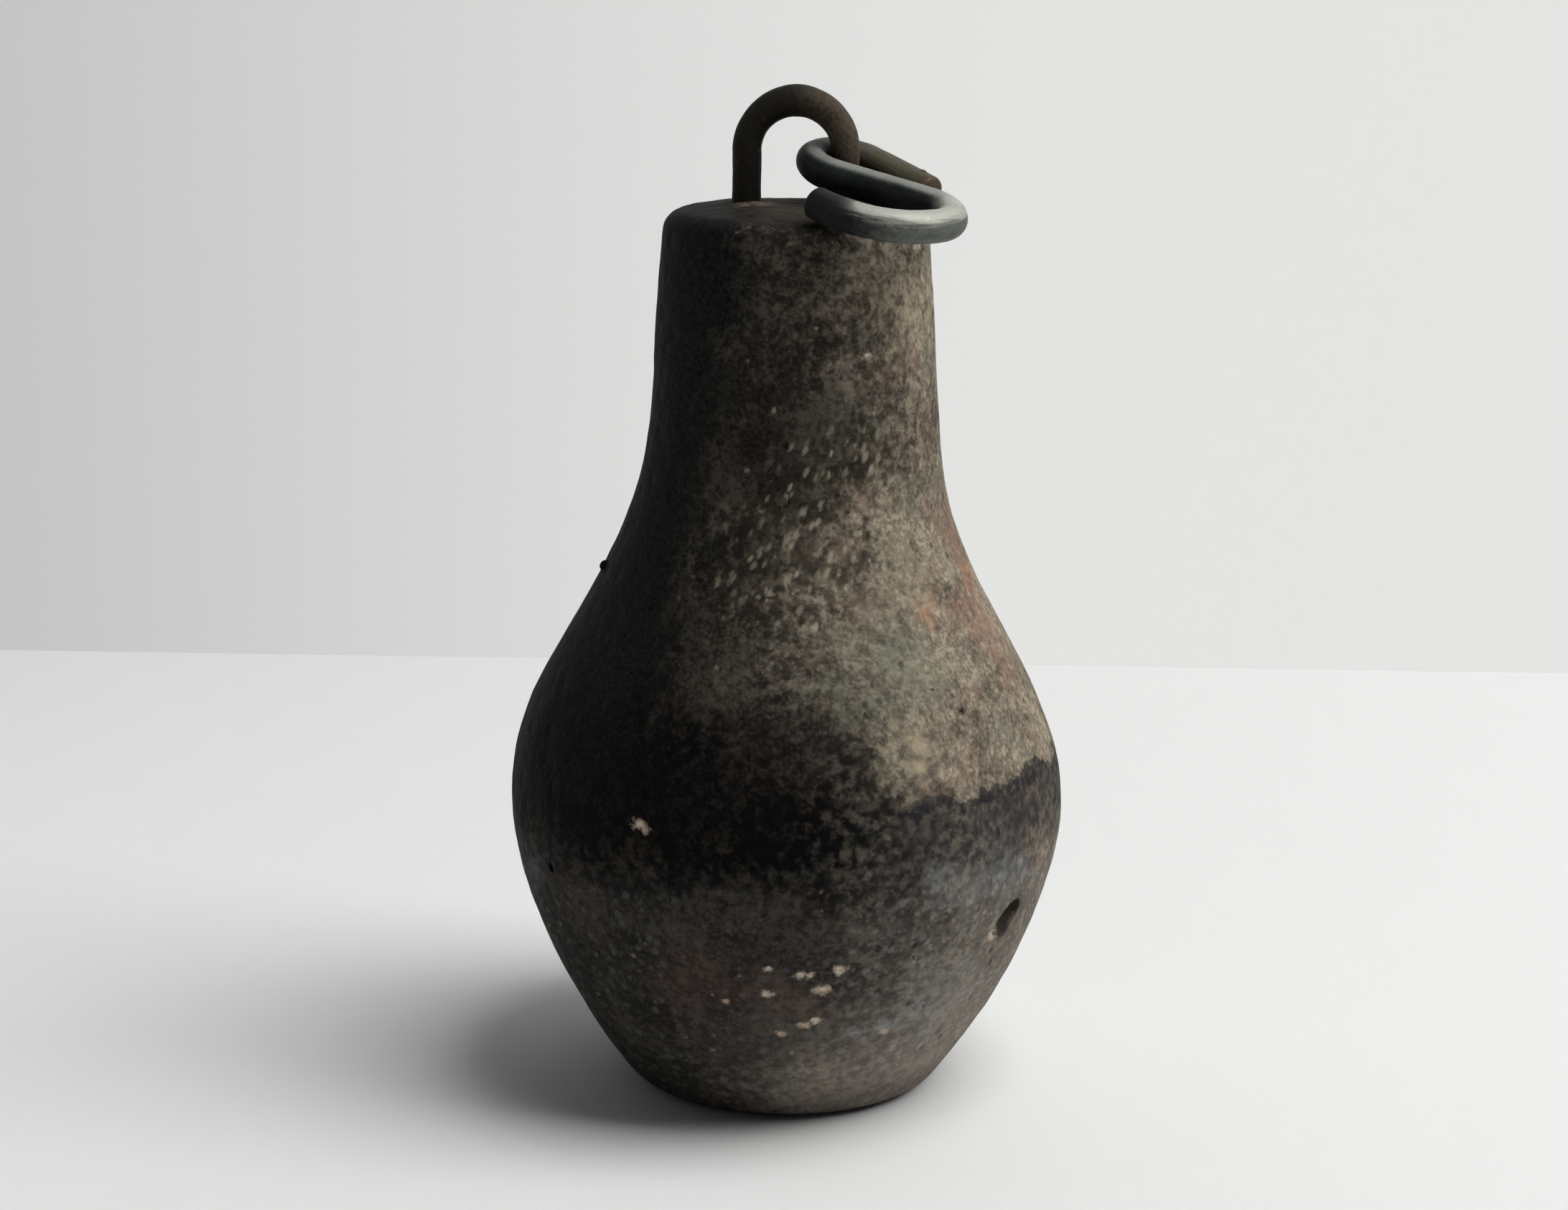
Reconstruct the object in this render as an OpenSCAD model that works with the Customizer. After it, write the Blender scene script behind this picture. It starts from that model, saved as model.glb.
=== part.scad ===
// Pear-shaped cast iron plumb bob with a cast-in wire eye and a loose S-hook.
// Millimetres, +Z up. The origin is the middle of the flat foot, on the surface it stands on.
// The eye lies in the XZ plane. The hook lies on the rim, towards -Y and +X.

/* [Casting] */
// Height of the iron body, from the foot to the rim of the neck
body_h = 111.2; // [106:0.1:120]
// Diameter of the belly
belly_d = 70; // [60:0.5:80]
// Height of the belly's widest line
belly_h = 36.6; // [30:0.1:44]
// Diameter of the flat that the bob stands on
foot_flat_d = 33.2; // [26:0.1:38]
// Radius of the rounding between the flat foot and the flank
foot_round = 5; // [1:0.1:7]
// How far the flank leans out from upright where it leaves the foot, in degrees
foot_flare = 38; // [30:1:46]
// Diameter of the neck at its base
neck_base_d = 36; // [33:0.1:44]
// Height at which the flank has become the neck
neck_base_h = 85; // [78:0.5:92]
// Diameter of the neck at the top, measured to the sharp corner before rounding
neck_top_d = 32.5; // [28:0.1:33]
// Radius of the rounding on the rim of the neck
rim_round = 2.8; // [1:0.1:5]
// Slope of the crowned top where it meets the rim's rounding, in degrees
crown_slope = 8; // [4:0.5:12]

/* [Curve of the flanks] */
// Length over which the lower flank keeps the flare of the foot
foot_pull = 10; // [6:0.5:14]
// Length below the belly over which the flank stays upright
belly_pull_down = 11; // [6:0.5:15]
// Length above the belly over which the flank stays upright
belly_pull_up = 18; // [12:0.5:22]
// Length below the neck over which the flank keeps the neck's taper
neck_pull = 22.5; // [14:0.5:26]

/* [Eye] */
// Thickness of the eye's wire
eye_wire_d = 3.75; // [3:0.05:4.2]
// Distance between the centres of the eye's two legs
eye_span = 12.2; // [11.2:0.1:14]
// Height of the eye above the middle of the crowned top
eye_stand = 14.1; // [12.8:0.1:17]
// Depth of the legs in the iron, from the middle of the top to the middle of their feet
eye_depth = 24.5; // [16:0.5:40]
// Radius at which the feet are bent outwards, at the middle of the wire
eye_foot_bend = 3.6; // [2.5:0.1:5]
// Straight length of each foot past its bend
eye_foot_len = 2.4; // [1:0.1:3]
// Gap between the wire and the iron round it
cast_gap = 0.05; // [0.02:0.01:0.1]

/* [S-hook] */
// Thickness of the hook's wire
hook_wire_d = 4; // [3.4:0.05:4.2]
// Play between the eye's wire and the inside of the bend that holds it, all round
hook_play = 0.47; // [0.4:0.01:0.8]
// Straight length of the back leg, from the bend to its cut end
hook_back_len = 10.5; // [7:0.1:12]
// How far the back leg closes in towards the middle leg, in degrees
hook_close = 25; // [10:1:28]
// Straight length of the middle leg
hook_middle_len = 12.5; // [10:0.1:16]
// Radius of the tight end of the line loop, at the middle of the wire
loop_tight_r = 4; // [3.2:0.1:5]
// Angle through which the tight end of the line loop turns, in degrees
loop_tight_turn = 114; // [100:1:125]
// Radius of the wide side of the line loop, at the middle of the wire
loop_wide_r = 10.3; // [9:0.1:12]
// Angle through which the wide side of the line loop turns, in degrees
loop_wide_turn = 91; // [70:1:95]
// Straight length at the cut end of the line loop
end_len = 0.8; // [0.6:0.1:2]
// Length of the bevel on the hook's cut ends
end_bevel = 0.5; // [0.2:0.05:0.55]

/* [How the hook lies] */
// Turn of the hook about the eye's leg, from square to the eye, in degrees
hook_turn = -20; // [-30:1:-10]
// How far the hook's front side hangs down, in degrees
hook_tip = 14; // [8:0.5:18]
// How far the hook slopes down away from the eye, in degrees
hook_fall = 9; // [3:0.5:12]
// How far the hook is pulled out from the centre of the leg
hook_pull = 0.16; // [0:0.01:0.2]
// Gap at which the hook lies over the rim
rest_gap = 0.25; // [0.1:0.01:0.4]

/* [Hidden] */

// Faces round a full circle, and segments along each stretch of flank
circle_fn = 96;
flank_steps = 20;
round_steps = 8;
crown_steps = 6;
rest_steps = 24;

// Each straight is a hair thinner than the bends it joins and laps into them, so that they fuse
seam_step = 0.01;
seam_lap = 0.05;

iron = [0.23, 0.20, 0.18];
rusty_wire = [0.22, 0.16, 0.12];
zinc_wire = [0.47, 0.49, 0.50];

belly_r = belly_d / 2;
foot_flat_r = foot_flat_d / 2;
neck_base_r = neck_base_d / 2;
neck_top_r = neck_top_d / 2;

// The neck's taper, and where its rim's rounding is centred
neck_taper = atan((neck_base_r - neck_top_r) / (body_h - neck_base_h));
rim_corner = rim_round * tan((90 - neck_taper) / 2);
rim_r = neck_top_r - rim_corner;
rim_h = body_h - rim_round;

// The crowned top: a shallow cap that carries on from the rim's rounding, and the small flat
// in its middle
rim_edge = on_circle([rim_r, rim_h], rim_round, 90 - crown_slope);
crown_r = rim_edge[0] / sin(crown_slope);
crown_centre = [0, rim_edge[1] - crown_r * cos(crown_slope)];
top_h = crown_centre[1] + crown_r * cos(crown_slope / crown_steps);

// The eye: an arch over two straight legs, and bent feet inside the iron
eye_leg_x = eye_span / 2;
arch_h = top_h + eye_stand - eye_wire_d / 2 - eye_leg_x;
foot_bend_h = top_h - eye_depth + eye_foot_bend;

// The hook's first bend goes round the eye's leg with its play
hook_bend_r = (eye_wire_d + hook_wire_d) / 2 + hook_play;
hook_x = eye_leg_x + hook_pull;

// Point at angle a on a circle of radius r about c
function on_circle(c, r, a) = c + r * [cos(a), sin(a)];

// Point at t, from 0 to 1, of the cubic curve from a to d with handles b and c
function on_cubic(a, b, c, d, t) =
    pow(1 - t, 3) * a + 3 * pow(1 - t, 2) * t * b + 3 * (1 - t) * t * t * c + pow(t, 3) * d;

// The outline: foot rounding, foot to belly, belly to neck, rim rounding, crowned top
foot_centre = [foot_flat_r, foot_round];
foot_end = on_circle(foot_centre, foot_round, -foot_flare);
belly = [belly_r, belly_h];
neck_base = [neck_base_r, neck_base_h];
rim_centre = [rim_r, rim_h];

function foot_round_points() =
    [for (i = [0 : round_steps - 1])
        on_circle(foot_centre, foot_round, -90 + (90 - foot_flare) * i / round_steps)];

function lower_flank_points() =
    [for (i = [0 : flank_steps - 1])
        on_cubic(foot_end, foot_end + foot_pull * [sin(foot_flare), cos(foot_flare)],
            belly - [0, belly_pull_down], belly, i / flank_steps)];

function upper_flank_points() =
    [for (i = [0 : flank_steps])
        on_cubic(belly, belly + [0, belly_pull_up],
            neck_base + neck_pull * [sin(neck_taper), -cos(neck_taper)], neck_base, i / flank_steps)];

function rim_points() =
    [for (i = [0 : round_steps])
        on_circle(rim_centre, rim_round,
            neck_taper + (90 - crown_slope - neck_taper) * i / round_steps)];

function crown_points() =
    [for (i = [1 : crown_steps - 1])
        on_circle(crown_centre, crown_r, 90 - crown_slope * (1 - i / crown_steps))];

casting_outline = concat([[0, 0]], foot_round_points(), lower_flank_points(),
    upper_flank_points(), rim_points(), crown_points(), [[0, top_h]]);

// The hook's path in its own flat plane, with the centre of its first bend at the origin.
// The middle leg runs along +X at y = -hook_bend_r. The line loop lies beyond it.
tight_centre = [hook_middle_len, -hook_bend_r - loop_tight_r];
tight_end_a = 90 - loop_tight_turn;
wide_centre = on_circle(tight_centre, loop_tight_r - loop_wide_r, tight_end_a);
wide_end_a = tight_end_a - loop_wide_turn;
back_start_a = 90 - hook_close;
back_start = on_circle([0, 0], hook_bend_r, back_start_a);

function arc_points(c, r, a0, a1) =
    [for (i = [0 : rest_steps]) on_circle(c, r, a0 + (a1 - a0) * i / rest_steps)];

function hook_path() = concat(
    [back_start + hook_back_len * [sin(back_start_a), -cos(back_start_a)]],
    arc_points([0, 0], hook_bend_r, back_start_a, 270),
    [for (i = [1 : rest_steps]) [hook_middle_len * i / rest_steps, -hook_bend_r]],
    arc_points(tight_centre, loop_tight_r, 90, tight_end_a),
    arc_points(wide_centre, loop_wide_r, tight_end_a, wide_end_a),
    [on_circle(wide_centre, loop_wide_r, wide_end_a) + end_len * [sin(wide_end_a), -cos(wide_end_a)]]);

// Directions of the hook plane's own X and Y as it lies on the neck
fall_dir = [cos(hook_fall), 0, -sin(hook_fall)];
tip_dir = [sin(hook_tip) * sin(hook_fall), cos(hook_tip), sin(hook_tip) * cos(hook_fall)];
plane_x = cos(hook_turn) * fall_dir + sin(hook_turn) * tip_dir;
plane_y = cos(hook_turn) * tip_dir - sin(hook_turn) * fall_dir;

// Height at which the middle of the hook's wire clears the neck's top, at r from the axis
wire_clear = hook_wire_d / 2 + rest_gap;
function resting_h(r) =
    r <= (crown_r + wire_clear) * sin(crown_slope) ?
        crown_centre[1] + sqrt(pow(crown_r + wire_clear, 2) - r * r) :
    r < rim_r + rim_round + wire_clear ?
        rim_h + sqrt(pow(rim_round + wire_clear, 2) - pow(r - rim_r, 2)) : 0;

// The hook is let down along the eye's leg until its first point meets the rim
function hook_lift(p) =
    let (q = [hook_x, 0, 0] + p[0] * plane_x + p[1] * plane_y)
    resting_h(norm([q[0], q[1]])) - q[2];
hook_h = max([for (p = hook_path()) hook_lift(p)]);

// A straight of wire of diameter d along +X. It laps into the bend before it and, unless it ends
// the wire, into the bend after it. What follows starts at its end.
module wire_straight(d, length, ends = false, bevel = 0) {
    r = d / 2;
    far = ends ? length : length + seam_lap;
    rotate([0, 90, 0]) rotate_extrude($fn = circle_fn / 2)
        polygon([[0, -seam_lap], [r, -seam_lap], [r, far - bevel], [r - bevel, far], [0, far]]);
    translate([length, 0, 0]) children();
}

// A bend of wire of diameter d that sets out along +X and turns left, or right if turn is negative.
// With laps it runs on into what follows. What follows starts at its end.
module wire_bend(d, r, turn, laps = false) {
    side = sign(turn);
    drawn = abs(turn) + (laps ? seam_lap / r * 180 / PI : 0);
    translate([0, side * r, 0]) {
        rotate_extrude(angle = drawn, start = side > 0 ? -90 : 90 - drawn, $fn = circle_fn)
            translate([r, 0]) circle(d = d, $fn = circle_fn / 2);
        rotate([0, 0, turn]) translate([0, -side * r, 0]) children();
    }
}

// The eye's leg on the +X side, from the arch down to the end of its foot, drawn in the XY plane
module eye_leg(d) {
    translate([eye_leg_x, 0, 0]) rotate([0, 0, -90])
        wire_straight(d - seam_step, arch_h - foot_bend_h)
        wire_bend(d, eye_foot_bend, 90)
        wire_straight(d - seam_step, eye_foot_len + (d - eye_wire_d) / 2, ends = true);
}

module eye_wire(d) {
    translate([0, 0, arch_h]) rotate([90, 0, 0]) {
        rotate_extrude(angle = 180, $fn = circle_fn)
            translate([eye_leg_x, 0]) circle(d = d, $fn = circle_fn / 2);
        eye_leg(d);
        mirror([1, 0, 0]) eye_leg(d);
    }
}

module casting() {
    color(iron) difference() {
        rotate_extrude($fn = circle_fn) polygon(casting_outline);
        eye_wire(eye_wire_d + 2 * cast_gap);
    }
}

module eye_staple() {
    color(rusty_wire) eye_wire(eye_wire_d);
}

// The hook lying flat, made both ways from where its first bend meets its middle leg
module hook_flat() {
    d = hook_wire_d;
    translate([0, -hook_bend_r, 0]) {
        rotate([0, 0, 180])
            wire_bend(d, hook_bend_r, -180 - hook_close)
            wire_straight(d - seam_step, hook_back_len, ends = true, bevel = end_bevel);
        wire_straight(d - 2 * seam_step, hook_middle_len)
            wire_bend(d - seam_step, loop_tight_r, -loop_tight_turn, laps = true)
            wire_bend(d, loop_wide_r, -loop_wide_turn)
            wire_straight(d - seam_step, end_len, ends = true, bevel = end_bevel);
    }
}

module s_hook() {
    color(zinc_wire) translate([hook_x, 0, hook_h])
        rotate([hook_tip, hook_fall, 0]) rotate([0, 0, hook_turn]) hook_flat();
}

casting();
eye_staple();
s_hook();
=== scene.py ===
import math

import bpy
from mathutils import Matrix, Vector, kdtree, noise


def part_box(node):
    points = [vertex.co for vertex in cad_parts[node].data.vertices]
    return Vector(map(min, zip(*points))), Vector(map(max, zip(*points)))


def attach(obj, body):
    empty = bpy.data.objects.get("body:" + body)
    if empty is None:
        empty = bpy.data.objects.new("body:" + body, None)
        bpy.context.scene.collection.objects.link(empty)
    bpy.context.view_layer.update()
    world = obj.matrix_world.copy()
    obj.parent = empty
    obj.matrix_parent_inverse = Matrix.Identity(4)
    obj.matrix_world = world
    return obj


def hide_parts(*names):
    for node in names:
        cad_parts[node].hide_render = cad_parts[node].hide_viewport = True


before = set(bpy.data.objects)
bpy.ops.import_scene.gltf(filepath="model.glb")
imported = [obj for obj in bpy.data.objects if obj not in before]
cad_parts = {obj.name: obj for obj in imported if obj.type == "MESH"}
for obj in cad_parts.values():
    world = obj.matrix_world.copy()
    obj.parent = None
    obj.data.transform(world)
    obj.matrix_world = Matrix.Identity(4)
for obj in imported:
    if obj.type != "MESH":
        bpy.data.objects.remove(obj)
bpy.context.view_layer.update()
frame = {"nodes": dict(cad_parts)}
scene = bpy.context.scene
mm = 0.001
print("frame loaded:", ", ".join(frame["nodes"]))


# Camera
cameraLook = {
    "place": (0.0, -0.400, 0.154),
    "down": 13.04,  # degrees below level
    "aside": -0.10,
    "tilt": 0.83,  # the top leans right
    "lens": 74.8,
    "sensor": 36.0,
}


def makeCamera(look):
    down, aside, tilt = (math.radians(look[key]) for key in ("down", "aside", "tilt"))
    ahead = Vector((math.sin(aside) * math.cos(down), math.cos(aside) * math.cos(down), -math.sin(down)))
    right = ahead.cross(Vector((0, 0, 1))).normalized()
    up = right.cross(ahead)
    tiltedRight = right * math.cos(tilt) + up * math.sin(tilt)
    tiltedUp = up * math.cos(tilt) - right * math.sin(tilt)
    turn = Matrix((tiltedRight, tiltedUp, -ahead)).transposed().to_4x4()
    data = bpy.data.cameras.new("benchCamera")
    data.lens, data.sensor_width, data.sensor_fit = look["lens"], look["sensor"], "HORIZONTAL"
    data.clip_start, data.clip_end = 0.01, 20
    camera = bpy.data.objects.new("benchCamera", data)
    camera.matrix_world = Matrix.Translation(look["place"]) @ turn
    scene.collection.objects.link(camera)
    scene.camera = camera


makeCamera(cameraLook)
scene.view_settings.view_transform = "Standard"
print("camera placed")


# Small helpers for modelling
def selectNothing():
    if bpy.context.object and bpy.context.object.mode != "OBJECT":
        bpy.ops.object.mode_set(mode="OBJECT")
    bpy.ops.object.select_all(action="DESELECT")


def makeActive(obj):
    selectNothing()
    obj.select_set(True)
    bpy.context.view_layer.objects.active = obj


def applyAll(obj):
    makeActive(obj)
    for name in [m.name for m in obj.modifiers]:
        bpy.ops.object.modifier_apply(modifier=name)


def tidyNormals(obj):
    makeActive(obj)
    bpy.ops.object.mode_set(mode="EDIT")
    bpy.ops.mesh.select_all(action="SELECT")
    bpy.ops.mesh.remove_doubles(threshold=0.001 * mm)
    bpy.ops.mesh.normals_make_consistent(inside=False)
    bpy.ops.object.mode_set(mode="OBJECT")


def placeInMesh(obj):
    makeActive(obj)
    bpy.ops.object.transform_apply(location=True, rotation=True, scale=True)


def cut(obj, tool, operation="DIFFERENCE"):
    step = obj.modifiers.new("cut", "BOOLEAN")
    step.operation, step.object, step.solver = operation, tool, "EXACT"
    makeActive(obj)
    bpy.ops.object.modifier_apply(modifier="cut")
    bpy.data.objects.remove(tool, do_unlink=True)


def roughen(obj, name, size, height, group=""):  # size and height in metres
    texture = bpy.data.textures.new(name, "CLOUDS")
    texture.noise_scale, texture.noise_depth = size, 2
    step = obj.modifiers.new(name, "DISPLACE")
    step.texture, step.texture_coords, step.direction = texture, "LOCAL", "NORMAL"
    step.strength, step.mid_level, step.vertex_group = height, 0.5, group


# The cast iron body, lathed ring by ring from the middle of the foot to the middle of the top
bobCasting = {  # millimetres
    "rimHeight": 111.2, "belly": 35.0, "bellyHeight": 36.6,
    "footFlat": 16.6, "footRound": 5.0, "footFlare": 38,
    "neckBase": 18.0, "neckBaseHeight": 85.0, "neckTop": 16.25, "rimRound": 2.8,
    "crownSlope": 8,  # degrees, where the crowned top meets the rim
    "pulls": (10.0, 11.0, 18.0, 22.5),
    "middleRing": 0.8, "segments": 80,  # rings below are counted from the foot up
    "footRings": 5, "lowerRings": 13, "shoulderRings": 18, "neckRings": 9, "rimRings": 6,
    "crownRings": (0.93, 0.8, 0.68, 0.56, 0.44, 0.32, 0.2, 0.1, 0.03),  # share of the slope left
    "sway": ((0, 0), (30, 0), (60, -0.3), (90, 0.3), (112, 0.1)),  # how far the middle wanders in X
    "lumps": 0.55, "dents": 0.16, "sand": 0.07,
    "collar": 0.35, "collarSpread": 2.9, "collarGrain": 900,  # iron drawn up round the eye's legs
    "lumpSize": 17, "dentSize": 5, "sandSize": 1.6, "levelBelow": 2.5,  # under this it stays flat
    "blowHole": {"angle": 54.9, "height": 26.8, "width": 3.8, "length": 6.2, "depth": 1.7, "lean": -50},
    "pits": (  # angle from the front in degrees, height, width and depth
        (-55.6, 32.6, 1.1, 1.0), (-42.0, 57.5, 0.5, 0.4), (-38.5, 61.5, 0.45, 0.4), (150, 58, 0.9, 0.7),
        (-128, 24, 1.2, 0.9), (96, 74, 0.7, 0.5), (44.3, 53.5, 0.8, 0.35), (-170, 90, 0.7, 0.5)),
    "flashNib": (-84, 66.6, 1.1, 0.75),  # the same, and how proud it is
}


def alongCurve(a, b, c, d, t):
    return a * (1 - t) ** 3 + b * 3 * (1 - t) ** 2 * t + c * 3 * (1 - t) * t * t + d * t ** 3


def castingRings(c):
    flare, slope = math.radians(c["footFlare"]), math.radians(c["crownSlope"])
    taper = math.atan((c["neckBase"] - c["neckTop"]) / (c["rimHeight"] - c["neckBaseHeight"]))
    rim = c["rimRound"]
    rimMiddle = Vector((c["neckTop"] - rim * math.tan((math.pi / 2 - taper) / 2), c["rimHeight"] - rim))
    rimStart = rimMiddle + rim * Vector((math.cos(taper), math.sin(taper)))
    crownRound = rimMiddle.x / math.sin(slope) + rim
    crownMiddle = Vector((0, rimMiddle.y - rimMiddle.x / math.tan(slope)))
    footPull, bellyPullDown, bellyPullUp, neckPull = c["pulls"]
    foot, bend = c["footFlat"], c["footRound"]
    footEnd = Vector((foot + bend * math.cos(flare), bend * (1 - math.sin(flare))))
    footOut = footEnd + footPull * Vector((math.sin(flare), math.cos(flare)))
    belly = Vector((c["belly"], c["bellyHeight"]))
    neck = Vector((c["neckBase"], c["neckBaseHeight"]))
    neckDown = neck + neckPull * Vector((math.sin(taper), -math.cos(taper)))
    rings = [(c["middleRing"], 0), (foot * 0.5, 0), (foot * 0.9, 0), (foot, 0)]
    for i in range(1, c["footRings"]):
        a = -math.pi / 2 + (math.pi / 2 - flare) * i / c["footRings"]
        rings.append((foot + bend * math.cos(a), bend * (1 + math.sin(a))))
    for count, curve in ((c["lowerRings"], (footEnd, footOut, belly - Vector((0, bellyPullDown)), belly)),
                         (c["shoulderRings"], (belly, belly + Vector((0, bellyPullUp)), neckDown, neck))):
        for i in range(count):
            rings.append(tuple(alongCurve(*curve, i / count)))
    for i in range(c["neckRings"]):
        rings.append(tuple(neck.lerp(rimStart, i / c["neckRings"])))
    for i in range(c["rimRings"] + 1):
        a = taper + (math.pi / 2 - slope - taper) * i / c["rimRings"]
        rings.append(tuple(rimMiddle + rim * Vector((math.cos(a), math.sin(a)))))
    for share in c["crownRings"]:
        a = math.pi / 2 - slope * share
        rings.append(tuple(crownMiddle + crownRound * Vector((math.cos(a), math.sin(a)))))
    return rings


def between(pairs, at):
    for (a, x), (b, y) in zip(pairs, pairs[1:]):
        if at <= b:
            return x + (y - x) * (at - a) / (b - a)
    return pairs[-1][1]


def lathe(name, rings, segments, sway):
    selectNothing()
    radius, height = rings[0]
    bpy.ops.mesh.primitive_circle_add(vertices=segments, radius=radius * mm, fill_type="NGON",
                                      location=(0, 0, height * mm))
    obj = bpy.context.object
    obj.name = name
    placeInMesh(obj)
    bpy.ops.object.mode_set(mode="EDIT")
    bpy.ops.mesh.select_all(action="SELECT")
    for (r0, h0), (r1, h1) in zip(rings, rings[1:]):
        aside = between(sway, h1) - between(sway, h0)
        middle = (between(sway, h1) * mm, 0, h1 * mm)
        bpy.ops.mesh.extrude_region_move(TRANSFORM_OT_translate={"value": (aside * mm, 0, (h1 - h0) * mm)})
        bpy.ops.transform.resize(value=(r1 / r0, r1 / r0, 1), center_override=middle)
    bpy.ops.object.mode_set(mode="OBJECT")
    tidyNormals(obj)
    return obj


def surfaceFrame(c, angle, height):  # where the skin is, and how it faces
    rings = castingRings(c)
    outside = sorted((h, r) for r, h in rings if 0 < h < c["rimHeight"])
    r = between(outside, height)
    slope = (between(outside, height + 1) - between(outside, height - 1)) / 2
    a = math.radians(angle)
    out = Vector((math.sin(a), -math.cos(a), -slope)).normalized()
    side = Vector((math.cos(a), math.sin(a), 0))
    place = Vector((r * math.sin(a) + between(c["sway"], height), -r * math.cos(a), height)) * mm
    return Matrix.Translation(place) @ Matrix((side, out.cross(side), out)).transposed().to_4x4()


def roughStone(size, matrix, seed, rough=0.05, smooth=0.4):
    selectNothing()
    bpy.ops.mesh.primitive_ico_sphere_add(subdivisions=3, radius=0.5)
    stone = bpy.context.object
    stone.matrix_world = matrix @ Matrix.Diagonal((size[0] * mm, size[1] * mm, size[2] * mm, 1))
    placeInMesh(stone)
    bpy.ops.object.mode_set(mode="EDIT")
    bpy.ops.mesh.select_all(action="SELECT")
    bpy.ops.transform.vertex_random(offset=rough * min(size) * mm, seed=seed)
    bpy.ops.mesh.vertices_smooth(factor=smooth)
    bpy.ops.object.mode_set(mode="OBJECT")
    return stone


def joined(parts):
    makeActive(parts[0])
    for part in parts[1:]:
        part.select_set(True)
    bpy.ops.object.join()
    return parts[0]


def makeCasting(c, eye):
    obj = lathe("castingBody", castingRings(c), c["segments"], c["sway"])
    smooth = obj.modifiers.new("smooth", "SUBSURF")
    smooth.levels = smooth.render_levels = 2
    applyAll(obj)
    free = obj.vertex_groups.new(name="free")
    for v in obj.data.vertices:  # the flat that it stands on stays flat
        free.add([v.index], min(1, max(0, v.co.z / mm / c["levelBelow"])), "REPLACE")
    roughen(obj, "castingLumps", c["lumpSize"] * mm, c["lumps"] * mm, "free")
    roughen(obj, "castingDents", c["dentSize"] * mm, c["dents"] * mm, "free")
    roughen(obj, "castingSand", c["sandSize"] * mm, c["sand"] * mm, "free")
    applyAll(obj)
    top = (c["rimHeight"] - 1) * mm
    for v in obj.data.vertices:
        if v.co.z > top:
            for x in (-eye["span"] / 2, eye["span"] / 2):
                away = math.hypot(v.co.x - x * mm, v.co.y) / mm / c["collarSpread"]
                uneven = 0.8 + 0.6 * noise.noise(v.co * c["collarGrain"])
                v.co.z += c["collar"] * mm * math.exp(-away ** 4) * uneven
        v.co.z = max(v.co.z, 0)
    hole = c["blowHole"]
    tools = [roughStone((hole["width"], hole["length"], hole["depth"] * 2),
                        surfaceFrame(c, hole["angle"], hole["height"])
                        @ Matrix.Rotation(math.radians(hole["lean"]), 4, "Z"), seed=3)]
    for i, (angle, height, width, depth) in enumerate(c["pits"]):
        tools.append(roughStone((width, width * 1.25, depth * 2), surfaceFrame(c, angle, height), seed=10 + i))
    cut(obj, joined(tools))
    angle, height, width, proud = c["flashNib"]
    nib = roughStone((width, width * 1.4, proud * 2), surfaceFrame(c, angle, height), seed=40)
    cut(obj, nib, "UNION")
    return obj


# Wires: a round bar led along its path by extruding and spinning its end
endTurns = [math.radians(a) for a in (0, 25, 50, 90)]  # round a bevelled end


def startWire(name, thickness, sides, bevel=0):
    selectNothing()
    radius = thickness / 2
    bpy.ops.mesh.primitive_circle_add(vertices=sides, radius=(radius - bevel) * mm, fill_type="NGON",
                                      rotation=(0, math.pi / 2, 0))
    obj = bpy.context.object
    obj.name = name
    placeInMesh(obj)
    bpy.ops.object.mode_set(mode="EDIT")
    bpy.ops.mesh.select_all(action="SELECT")
    pen = {"at": Vector((0, 0)), "heading": 0.0, "path": [Vector((0, 0))]}
    if bevel:
        roundEnd(pen, [(bevel * (1 - math.cos(a)), radius - bevel + bevel * math.sin(a)) for a in endTurns])
    return obj, pen


def roundEnd(pen, steps):  # how far on, and how wide there
    for (x0, r0), (x1, r1) in zip(steps, steps[1:]):
        ahead(pen, x1 - x0, 1)
        middle = (pen["at"].x * mm, pen["at"].y * mm, 0)
        bpy.ops.transform.resize(value=(r1 / r0,) * 3, center_override=middle)


def ahead(pen, length, steps):
    toward = Vector((math.cos(pen["heading"]), math.sin(pen["heading"])))
    for _ in range(steps):
        step = toward * (length / steps)
        bpy.ops.mesh.extrude_region_move(TRANSFORM_OT_translate={"value": (step.x * mm, step.y * mm, 0)})
        pen["at"] = pen["at"] + step
        pen["path"].append(pen["at"])


def around(pen, radius, degrees, steps):  # left if degrees are positive
    side = 1 if degrees > 0 else -1
    turn = math.radians(degrees)
    toCentre = Vector((-math.sin(pen["heading"]), math.cos(pen["heading"]))) * radius * side
    centre = pen["at"] + toCentre
    bpy.ops.mesh.spin(steps=steps, angle=-turn, center=(centre.x * mm, centre.y * mm, 0), axis=(0, 0, 1))
    for i in range(1, steps + 1):
        pen["path"].append(centre + Matrix.Rotation(turn * i / steps, 2) @ -toCentre)
    pen["at"] = pen["path"][-1]
    pen["heading"] += turn


def endWire(obj, pen, thickness, bevel=0):
    if bevel:
        roundEnd(pen, [(bevel * math.sin(a), thickness / 2 - bevel + bevel * math.cos(a)) for a in endTurns])
    bpy.ops.object.mode_set(mode="OBJECT")
    tidyNormals(obj)


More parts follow.
